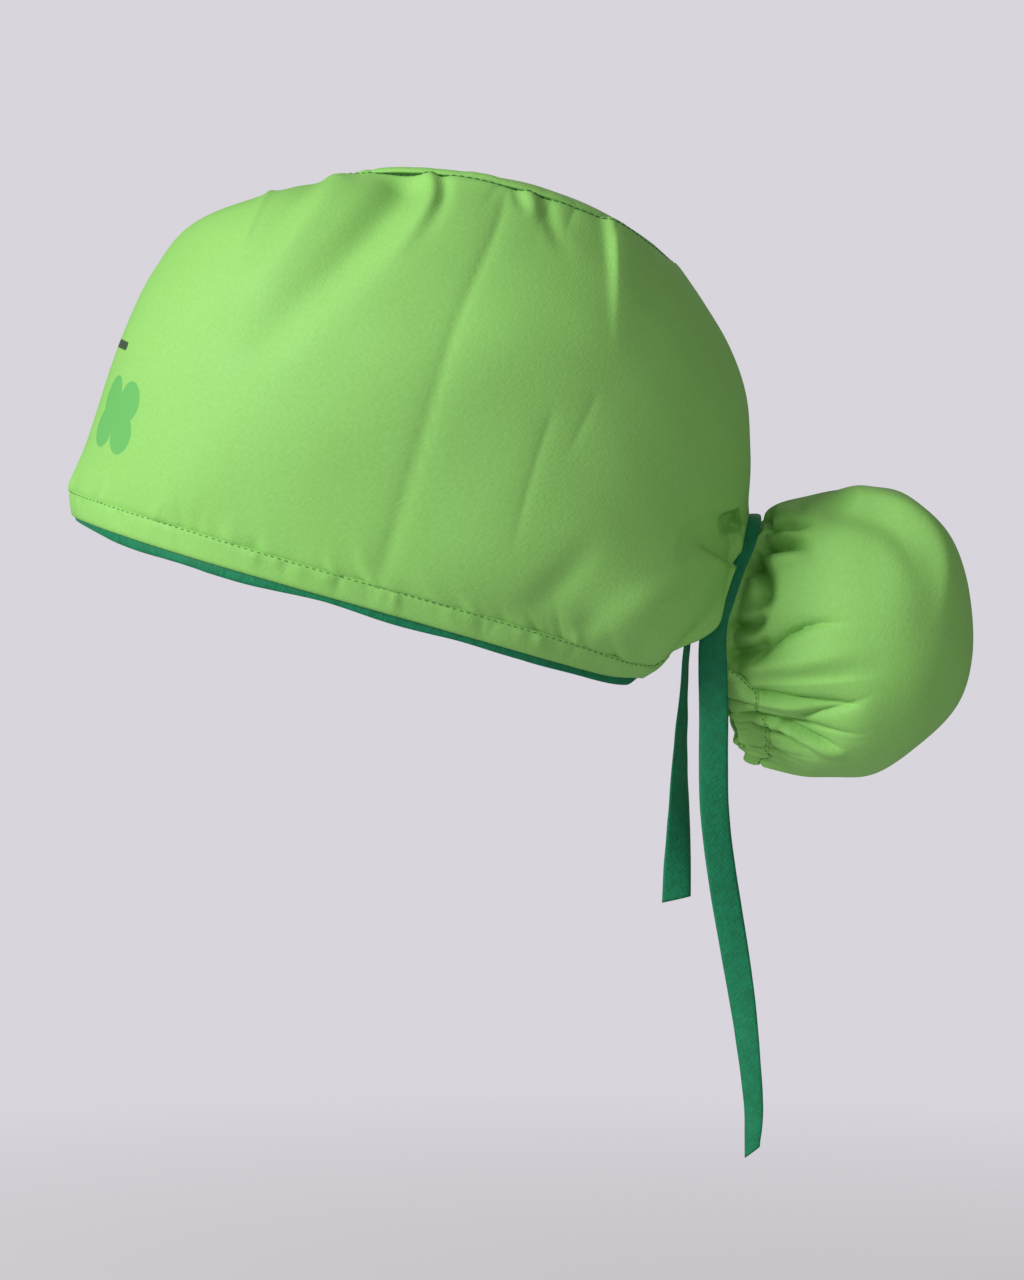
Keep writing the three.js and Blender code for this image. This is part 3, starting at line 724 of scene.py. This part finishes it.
def strip_along(route, per_span, thickness, cup):
    """Sections of a flat ribbon along a route, with its own length at each section."""
    where = centripetal(np.array([row[:3] for row in route], float)[:, None], per_span)[:, 0]
    face = centripetal(np.array([row[4] for row in route], float)[:, None], per_span)[:, 0]
    stops = np.linspace(0, len(route) - 1, len(where))
    width = np.interp(stops, range(len(route)), [row[3] for row in route])
    forward = np.gradient(where, axis=0)
    forward /= np.linalg.norm(forward, axis=-1, keepdims=True)
    across = np.cross(forward, face)
    across /= np.linalg.norm(across, axis=-1, keepdims=True)
    out = np.cross(across, forward)
    slots = np.linspace(-1, 1, 11)
    front = [(s, 0.5 * thickness * (1 - 0.5 * abs(s) ** 8)) for s in slots]
    back = [(s, -0.5 * thickness * (1 - 0.5 * abs(s) ** 8)) for s in slots[::-1]]
    section = np.array(front + back)
    along = run_along(where)
    rings = (where[:, None]
             + across[:, None] * (section[None, :, :1] * width[:, None, None] / 2)
             + out[:, None] * (section[None, :, 1:] + cup * (1 - section[None, :, :1] ** 2)))
    return rings, along, where, out


def make_tie(name, route, node, cut):
    rings, along, where, out = strip_along(route, 14, 0.6, 0.35)
    aside = (rings - where[:, None])[..., 1:2] * smooth(along, along[-1] - 9, along[-1])[:, None, None]
    rings = rings + aside * np.array([0, 0, cut])
    rings = rings + out[:, None] * (0.12 * wobble(rings, 14, 5)[..., None])
    height = np.linspace(0, 22, rings.shape[1])
    piece = sweep(name, rings, along, height)
    piece.data.materials.append(ribbon_cloth)
    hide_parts(node)
    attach(piece, "root")
    return piece


make_tie("ribbon_long", TIE_LONG, "tie_long", 0.9)
make_tie("ribbon_short", TIE_SHORT, "tie_short", 0.25)


# ---------------------------------------------------------------- side band

def hem_share(degrees):
    """How much of its full height the hem has at each place round the panel."""
    share = np.clip((CORNER_TOP + CORNER_LIFT - lower_edge(degrees)[:, 2]) / HEM_HEIGHT, 0, 1)
    return np.where(np.abs(degrees) < HEM_STOP, 1, share)


def hem_frame(degrees):
    """The lower edge, the way up the cloth there and the way out of it."""
    low = lower_edge(degrees)
    column = at_length(band_columns(degrees), np.array([[3.0]]) + 0 * degrees)[0] - low
    place = np.clip(degrees * HEM_END / CORNER, -HEM_END, HEM_END)
    out = np.cross(opening_edge(place + 1) - opening_edge(place), column)
    out /= np.linalg.norm(out, axis=-1, keepdims=True)
    up = np.array([0, 0, 1.0]) - out[:, 2:] * out
    up /= np.linalg.norm(up, axis=-1, keepdims=True)
    return low, up, out


def hem_reach(columns, degrees):
    """How far up each column the top of the hem is, for columns that run slantwise over it."""
    low, up, _ = hem_frame(np.linspace(0, HEM_STOP, 140))
    top = low + up * (HEM_HEIGHT - 1.3) * HEM_STRETCH
    runs = np.arange(0, 30, 0.5)[:, None]
    points = at_length(columns, runs + 0 * degrees)
    over = points[..., 2] - np.interp(points[..., 1], top[:, 1], top[:, 2])
    found = np.array([np.interp(0, over[:, i], runs[:, 0]) for i in range(len(degrees))])
    last = np.interp(HEM_STOP - 1, degrees, found)
    return np.where(np.abs(degrees) < HEM_STOP, found, last * hem_share(degrees))


def wall_sag(degrees):
    """How far the wall curves away from a straight rise by the top of the hem."""
    around = np.linspace(-HEM_LAST, HEM_LAST, 400)
    cloud = at_length(band_columns(around), np.arange(0, 26, 0.5)[:, None] + 0 * around).reshape(-1, 3)
    tree = KDTree(len(cloud))
    for index, point in enumerate(cloud):
        tree.insert(point, index)
    tree.balance()
    low, up, out = hem_frame(degrees)
    top = low + up * (HEM_HEIGHT * HEM_STRETCH * hem_share(degrees))[:, None]
    sag = [np.dot(np.array(tree.find(point)[0]) - point, way) for point, way in zip(top, out)]
    return np.convolve(np.pad(sag, 6, mode="edge"), np.ones(13) / 13, "valid")


def band_angles():
    """Column angles, closer together at the back and on the left, where the folds are finest."""
    left = np.concatenate([np.arange(0, 105, 0.75), np.arange(105, 180, 0.42)])
    right = np.concatenate([np.arange(-180, -105, 0.7), np.arange(-105, 0, 1.0)])
    angles = np.concatenate([right, left])
    return angles[:len(angles) // 2 * 2]


def band_detail(grid, rise, room, degrees, height):
    """Puckers along the hem and below the crown seam, and the cloth's own unevenness."""
    near_hem = 1 - smooth(np.abs(degrees), HEM_STOP - 6, HEM_STOP)
    place = run_along(lower_edge(degrees))
    above = np.maximum(rise - room, 0)
    pucker = pleats(place, above, 3, (0, place[-1]), 6.5, 1.5, 1.0, 10.0, 0.45, 1.3) * near_hem
    stitch = -0.2 * np.exp(-((above / 2.2) ** 2)) * near_hem
    below = height - rise
    top_place = degrees * 1.1
    gathers = pleats(top_place, below, 11, (-198, 198), 12.0, 0.8, 2.0, 15.0, 0.25)
    soft = 0.5 * wobble(grid, 60, 21) + 0.14 * wobble(grid, 26, 22)
    quiet = smooth(rise, 4, 24) * smooth(below, 0, 10)
    return pucker + stitch + gathers + soft * quiet


BAND_ROWS = 121
BAND_PULL = 0.5  # how much folds lean towards their side
GIRTH_STEP = 1.72  # cloth coordinate for each degree round the band, in millimetres
angles = band_angles()
columns = band_columns(angles)
column_height = lengths(columns)[-1]
hem_room = hem_reach(columns, angles)
share = np.linspace(0, 1, BAND_ROWS)[:, None]
rise = hem_room + (column_height - hem_room) * share
band_grid = at_length(columns, rise)
field = fold_field(band_grid, BAND_FOLDS)
detail = band_detail(band_grid, rise, hem_room, angles, column_height)
under_hem = -1.2 * np.exp(-((rise - hem_room) / 1.0) ** 2) * (hem_room > 4)
roll_in = -1.3 * (1 - 0.5 * smooth(band_grid[..., 1], 60, 100))
roll_in = roll_in * np.exp(-((column_height - rise) / 1.3) ** 2)
away = np.abs(angles)
flare = 4.6 * np.exp(-((rise / 7) ** 2)) * smooth(away, 141, 148) * (1 - smooth(away, 165, 175))
front = -1.3 * (1 - smooth(away, 20, 60)) * smooth(rise, 8, 30)
edge_free = smooth(away, 140, 144)
height_field = field * np.maximum(smooth(rise - hem_room, -1, 13), edge_free)
height_field = height_field + detail + under_hem + roll_in + front
band_surface = raised(band_grid, height_field, BAND_PULL)
band_surface[..., 0] -= POCKET_DEPTH * np.clip(fold_field(band_grid, POCKET), 0, 1)
band_surface += flare[..., None] * np.stack([np.sign(angles), 0.3 + 0 * angles, 0 * angles], -1)
side_faces = grid_normals(band_surface, True)
girth = np.append(angles, angles[0] + 360) * GIRTH_STEP
side = panel("cap_side", band_surface, CLOTH, girth, rise)
side.data.materials.append(band_cloth)
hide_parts("side_band")
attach(side, "root")


# ---------------------------------------------------------------- hem

HEM_SECTION = [  # rise, offset from the band's face
    (8.7, -0.9), (8.5, -0.4), (8.1, -0.1), (7.2, 0.18), (5.8, 0.34), (4.2, 0.4), (2.6, 0.4), (1.2, 0.35),
    (0.3, 0.1), (-0.15, -0.45), (-0.15, -1.1), (0.3, -1.6), (1.4, -1.85), (4.0, -1.9), (8.4, -1.9),
]


def hem_angles(step):
    return np.arange(-HEM_LAST, HEM_LAST + step / 2, step)


hem_degrees = hem_angles(0.45)
section = np.array(HEM_SECTION)
hem_low, hem_up, hem_out = hem_frame(hem_degrees)
hem_size = HEM_STRETCH * (0.03 + 0.97 * hem_share(hem_degrees))
hem_place = run_along(hem_low)
hem_rises = section[:, :1] * hem_size
hem_below = np.maximum(HEM_HEIGHT - hem_rises, 0)
puff = pleats(hem_place, hem_below, 7, (0, hem_place[-1]), 6.0, 0.9, 0.8, 6.0, 0.35, 1.2)
puff = puff * (section[:, 1:] > -1)
hem_sag = wall_sag(hem_degrees)
hem_offset = section[:, 1:] + puff + hem_sag * (hem_rises / HEM_HEIGHT) ** 2
hem_surface = hem_low + hem_up * hem_rises[..., None] + hem_out * hem_offset[..., None]
hem = sweep("cap_hem", hem_surface.transpose(1, 0, 2)[:, ::-1], hem_place, section[::-1, 0])
hem.data.materials.append(plain_cloth)
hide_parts("hem_band")
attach(hem, "root")


# ---------------------------------------------------------------- edge ribbon

EDGE_SHOWS = [  # y, and how much of the ribbon shows below the hem there
    (-101.5, 2.0), (-84, 3.4), (-66, 3.6), (-50, 4.2), (-30, 3.2), (-10, 2.8),
    (26, 3.4), (54, 2.8), (80, 3.6), (95, 3.4),
]
EDGE_SECTION = [  # share of what shows below the hem, rise, offset
    (1.0, 0.0, -1.5), (0.96, 0.0, -1.15), (0.7, 0.0, -0.95), (0.0, 0.0, -1.0), (0.0, 4.0, -1.3),
    (0.0, 4.0, -1.9), (0.0, 0.0, -1.8), (0.96, 0.0, -1.75),
]
EDGE_TUCK = [0, 0, 0.3]
EDGE_DROP = np.array([0, 0, 1.04])
edge_degrees = np.arange(-HEM_STOP - 3, HEM_STOP + 3.2, 0.5)
edge_low, edge_up, edge_out = hem_frame(edge_degrees)
shows = np.interp(edge_low[:, 1], [row[0] for row in EDGE_SHOWS], [row[1] for row in EDGE_SHOWS])
shows = shows * (1 + 0.12 * np.sin(edge_low[:, 1] / 7.0)) * (1 - smooth(np.abs(edge_degrees), 133, 142))
edge_place = run_along(edge_low)
edge_surface = np.stack([
    edge_low + EDGE_TUCK - EDGE_DROP * (part * shows)[:, None] + edge_up * above + edge_out * offset
    for part, above, offset in EDGE_SECTION
])
edge_section = np.linspace(0, 9, len(EDGE_SECTION))
edge = sweep("edge_strip", edge_surface.transpose(1, 0, 2), edge_place, edge_section)
edge.data.materials.append(ribbon_cloth)
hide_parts("edge_ribbon")
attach(edge, "root")


# ---------------------------------------------------------------- crown

CROWN_ROWS = 61
crown_angles = np.arange(-180, 180, 1.0)
seam = BAND_RINGS[-1]
rim = band_ring(seam, crown_angles)
side_level = band_ring(seam, np.array([90.0]))[0, 2]
reach = np.linspace(0.995, 0.03, CROWN_ROWS)[:, None]
middle_y = (seam["front"][0] + seam["back"][0]) / 2
crown_grid = np.stack([
    rim[:, 0] * reach,
    middle_y + (rim[:, 1] - middle_y) * reach,
    side_level + (rim[:, 2] - side_level) * reach ** 2 + 2.5 * (1 - reach ** 2.4),
], -1)
inward = (1 - reach) * 60 + 0 * crown_angles
crown_detail = (pleats(crown_angles * 1.1, inward, 31, (-198, 198), 8.0, 0.8, 1.0, 9.0, 0.2)
                + 0.5 * wobble(crown_grid, 40, 32) * smooth(inward, 2, 16)
                + 1.0 * smooth(inward, 0, 3.5) * np.exp(-inward / 14) - 1.0 * np.exp(-((inward / 1.0) ** 2)))
crown_detail = crown_detail * (1 - 0.7 * smooth(crown_grid[..., 1], 60, 100))
crown_detail = crown_detail - 2.6 * np.exp(-(((crown_grid[..., 1] + 11) / 9) ** 2))
crown_surface = raised(crown_grid, crown_detail, 0.0)
crown_top = crown_surface[-1].mean(0)
crown = panel("cap_crown", crown_surface, CLOTH, np.append(crown_angles, 180.0), inward,
              [crown_top, crown_top - [0, 0, CLOTH]])
crown.data.materials.append(plain_cloth)
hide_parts("crown_panel")
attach(crown, "root")


# ---------------------------------------------------------------- pouch

def lip_share(degrees):
    """How much of its full height the casing has at each place round the mouth."""
    return 1 - smooth(np.abs(180 - degrees), LIP_HALF - 6, LIP_LAST)


def pouch_angles():
    return np.concatenate([np.arange(0, 180, 0.6), np.arange(180, 360, 1.0)])


def lip_drawn(degrees):
    """The gathers draw the casing's seam up and down, and most of all at the lowest point of the mouth."""
    low = 0.45 * np.exp(-(((degrees - 180) / 24) ** 2))
    return 1 - low + 0.07 * np.sin(degrees / 4.1) + 0.06 * np.sin(degrees / 2.3 + 1)


POUCH_ROWS = 131
POUCH_PULL = 0.3
POUCH_STEP = 0.75  # cloth coordinate for each degree round the mouth, in millimetres
NECK_RECESS = 7.5  # of the mouth beside the ribbon
pouch_degrees = pouch_angles()
pouch_curves = pouch_columns(pouch_degrees)
pouch_height = lengths(pouch_curves)[-1] * 0.985
lip_room = (LIP_HEIGHT - 0.3) * lip_share(pouch_degrees) * lip_drawn(pouch_degrees)
share = (np.linspace(0, 1, POUCH_ROWS) ** 1.15)[:, None]
run = lip_room + (pouch_height - lip_room) * share
pouch_grid = at_length(pouch_curves, run)


def casing_gathers(degrees, run):
    """Fine gathers of the elastic along the lower half of the mouth, over the casing and the pouch alike."""
    low = 1 - smooth(np.abs(180 - degrees), LIP_HALF - 10, LIP_LAST + 8)
    fine = pleats(degrees * 0.57, run, 42, (0, 205), 3.4, 3.0, 0.5, 24.0, 0.14, 1.3)
    return fine * low


def pouch_detail(grid, run, degrees):
    """Gathers from the mouth, strongest on the side that the folds below don't draw, and soft dents."""
    left = smooth(np.sin(np.radians(degrees)), -0.25, 0.25)
    gathers = pleats(degrees * 0.57, run, 41, (0, 205), 7.5, 2.4, 7.0, 27.0, 0.22)
    upper = pleats(degrees * 0.57, run, 43, (0, 205), 4.2, 1.2, 1.5, 9.0, 0.15)
    soft = 0.9 * wobble(grid, 52, 43) + 0.3 * wobble(grid, 18, 44)
    return gathers * (1 - 0.7 * left) + upper * (1 - 0.5 * left) + soft * smooth(run, 6, 40)


pouch_field = fold_field(pouch_grid, POUCH_FOLDS) + pouch_detail(pouch_grid, run, pouch_degrees)
under_lip = -0.9 * np.exp(-((run - lip_room) / 0.8) ** 2) * (lip_room > 4)
pouch_field = pouch_field * smooth(run, 0.5, 5) + casing_gathers(pouch_degrees, run) + under_lip
pouch_surface = raised(pouch_grid, pouch_field, POUCH_PULL)
neck = smooth(pouch_degrees, 20, 45) * (1 - smooth(pouch_degrees, 88, 116))
pouch_surface[..., 0] -= NECK_RECESS * neck * (1 - smooth(run, 5, 14))
tip = pouch_surface[-1].mean(0)
pouch = panel("cap_pouch", pouch_surface, CLOTH, np.append(pouch_degrees, 360.0) * POUCH_STEP, run,
              [tip, tip - [0, CLOTH, 0]])
pouch.data.materials.append(plain_cloth)
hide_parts("ponytail_pouch")
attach(pouch, "root")


# ---------------------------------------------------------------- pouch casing

LIP_SECTION = [  # run from the mouth, offset
    (11.2, -0.9), (10.9, -0.3), (10.2, 0.1), (8.0, 0.6), (5.0, 0.8), (2.0, 0.6), (0.4, 0.1),
    (-0.2, -0.6), (0.2, -1.4), (2.0, -1.8), (6.0, -1.9), (10.8, -1.9),
]
LIP_SEAM = 2  # row of the casing that its stitches run along
lip_degrees = np.arange(180 - LIP_LAST, 180 + LIP_LAST + 0.3, 0.6)
lip_curves = pouch_columns(lip_degrees)
lip_section = np.array(LIP_SECTION)
lip_size = 0.03 + 0.97 * lip_share(lip_degrees)
lip_runs = lip_section[:, :1] * lip_size * lip_drawn(lip_degrees)
lip_normals = grid_normals(at_length(lip_curves, np.array([[0.0], [11.0]]) + 0 * lip_degrees), False)[0]
lip_plain = at_length(lip_curves, lip_runs)
lip_folds = fold_field(lip_plain, POUCH_FOLDS) * smooth(lip_section[:, :1], -0.5, 5)
lip_puff = casing_gathers(lip_degrees, np.maximum(lip_runs, 0.6)) + lip_folds * lip_share(lip_degrees)
lip_surface = lip_plain + lip_normals[None] * (lip_section[:, 1:] + lip_puff)[..., None]
lip_place = lip_degrees * POUCH_STEP
lip = sweep("pouch_lip", lip_surface.transpose(1, 0, 2)[:, ::-1], lip_place, lip_section[::-1, 0])
lip.data.materials.append(plain_cloth)
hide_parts("pouch_casing")
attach(lip, "root")


# ---------------------------------------------------------------- stitches

def stitch_line(name, points, normals, pitch, length, radius):
    """Stitches along a line of points, each facing the way of the cloth under it."""
    along = run_along(points)
    starts = np.arange(pitch, along[-1] - pitch, pitch)

    def read(values, where):
        return np.stack([np.interp(where, along, values[:, axis]) for axis in range(3)], -1)

    up = read(normals, starts)
    up /= np.linalg.norm(up, axis=-1, keepdims=True)
    piece = threads(name, read(points, starts), read(points, starts + length), up, radius)
    piece.data.materials.append(stitch_thread)
    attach(piece, "root")
    return piece


HEM_SEAM = 2  # row of the hem that its stitches run along
HEM_STITCH = {"pitch": 2.4, "length": 1.3, "radius": 0.13}
CROWN_STITCH = {"pitch": 2.6, "length": 1.9, "radius": 0.16}
LIP_STITCH = {"pitch": 1.9, "length": 1.2, "radius": 0.14}
sewn = hem_share(hem_degrees) > 0.02
hem_line = hem_surface[HEM_SEAM] + hem_out * 0.05
hem_stitches = stitch_line("hem_stitches", hem_line[sewn], hem_out[sewn], **HEM_STITCH)
crown_line = band_surface[-2] + 0.15 * side_faces[-2]
crown_stitches = stitch_line("crown_stitches", crown_line, side_faces[-2], **CROWN_STITCH)
lip_line = lip_surface[LIP_SEAM] + 0.05 * lip_normals
lip_stitches = stitch_line("lip_stitches", lip_line, lip_normals, **LIP_STITCH)


# ---------------------------------------------------------------- stage and light

FLOOR_LEVEL = CAD_BOX[0].z - 0.16
FLOOR_SIZE = 1.3
CENTRE = (0.0, 0.03, 0.05)
LAMP_WHITE = (1.0, 0.99, 0.97)
LAMPS = [  # name, place, size, power
    ("key", (0.95, -1.3, 0.75), 0.7, 34),
    ("front_fill", (1.6, 0.6, 0.3), 1.2, 4.5),
    ("back_fill", (-1.3, 0.3, 1.0), 1.2, 1.5),
]


def make_floor():
    bpy.ops.mesh.primitive_circle_add(vertices=96, radius=FLOOR_SIZE, fill_type="NGON",
                                      location=(0, 0.05, FLOOR_LEVEL))
    floor = bpy.context.object
    floor.name = "floor"
    nodes = Nodes("floor_paint")
    place = nodes.add("ShaderNodeTexCoord").outputs["Object"]
    away = nodes.add("ShaderNodeVectorMath", {0: place}, operation="LENGTH").outputs["Value"]
    shown = nodes.ramp(away, FLOOR_SIZE * 0.2, FLOOR_SIZE * 0.75, 0.8, 0.0)
    nodes.shader.inputs["Base Color"].default_value = linear(238, 235, 242)
    nodes.shader.inputs["Roughness"].default_value = 0.9
    nodes.shader.inputs["Specular IOR Level"].default_value = 0.1
    nodes.tree.links.new(shown, nodes.shader.inputs["Alpha"])
    floor.data.materials.append(nodes.material)


def make_light(name, place, size, power):
    light = bpy.data.lights.new(name, "AREA")
    light.size = size
    light.energy = power
    light.color = LAMP_WHITE
    lamp = bpy.data.objects.new(name, light)
    lamp.location = place
    lamp.rotation_euler = (Vector(CENTRE) - Vector(place)).to_track_quat("-Z", "Y").to_euler()
    bpy.context.scene.collection.objects.link(lamp)


def make_world():
    world = bpy.data.worlds.new("studio")
    world.use_nodes = True
    tree = world.node_tree
    tree.nodes.clear()
    seen = tree.nodes.new("ShaderNodeBackground")
    seen.inputs[0].default_value = linear(216, 213, 220)
    glow = tree.nodes.new("ShaderNodeBackground")
    glow.inputs[0].default_value = (1.0, 0.99, 0.95, 1.0)
    glow.inputs[1].default_value = 0.22
    path = tree.nodes.new("ShaderNodeLightPath")
    mix = tree.nodes.new("ShaderNodeMixShader")
    out = tree.nodes.new("ShaderNodeOutputWorld")
    tree.links.new(path.outputs["Is Camera Ray"], mix.inputs[0])
    tree.links.new(glow.outputs[0], mix.inputs[1])
    tree.links.new(seen.outputs[0], mix.inputs[2])
    tree.links.new(mix.outputs[0], out.inputs[0])
    bpy.context.scene.world = world


make_floor()
make_world()
for lamp_name, place, size, power in LAMPS:
    make_light(lamp_name, place, size, power)
bpy.context.scene.view_settings.view_transform = "Standard"
